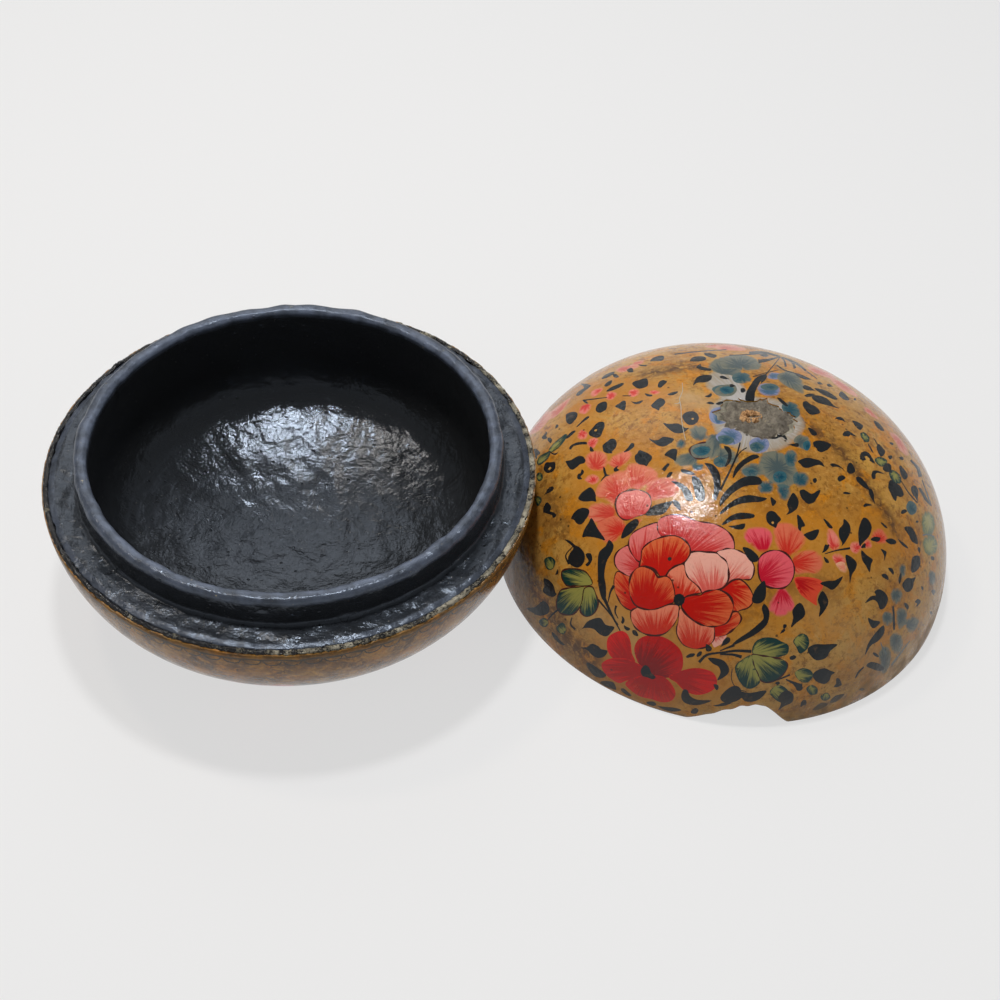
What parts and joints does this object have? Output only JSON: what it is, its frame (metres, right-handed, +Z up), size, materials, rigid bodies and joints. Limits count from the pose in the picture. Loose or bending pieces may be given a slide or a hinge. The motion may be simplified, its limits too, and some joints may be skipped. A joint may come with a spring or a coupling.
{
  "type": "papier mache box",
  "caption": "Round lidded box of lacquered papier mache, shown open: a bowl with a raised neck inside a flat ledge, and a domed lid set down beside it on its rim.",
  "frame": {"origin": "centre of the flat foot that the base stands on", "axes": "+Z up along the base's axis, +X from the base's centre to the lid's centre, -Y towards the side with the chip in the lid's rim"},
  "size_m": [0.3096, 0.16, 0.0618],
  "materials": {
    "pulp": "matt pressed paper pulp",
    "black_lacquer": "gloss hand-brushed lacquer",
    "chalk_ground": "matt chalk and glue",
    "painted_skin": "satin varnish over floral painting",
    "knob_paste": "matt grey paste",
    "peg_wood": "raw broken wood"
  },
  "bodies": {
    "base": {"base_shell": "pulp", "base_collar": "pulp", "base_lining": "black_lacquer", "base_gesso": "chalk_ground", "base_paint": "painted_skin"},
    "lid": {"lid_shell": "pulp", "lid_lining": "black_lacquer", "lid_gesso": "chalk_ground", "lid_paint": "painted_skin", "knob_filler": "knob_paste", "knob_peg": "peg_wood"}
  },
  "joints": [
    {"name": "lid_lift", "type": "slide", "parent": "base", "child": "lid", "axis": [0.5, 0, 0.866], "range_m": [0, 0.15]}
  ]
}
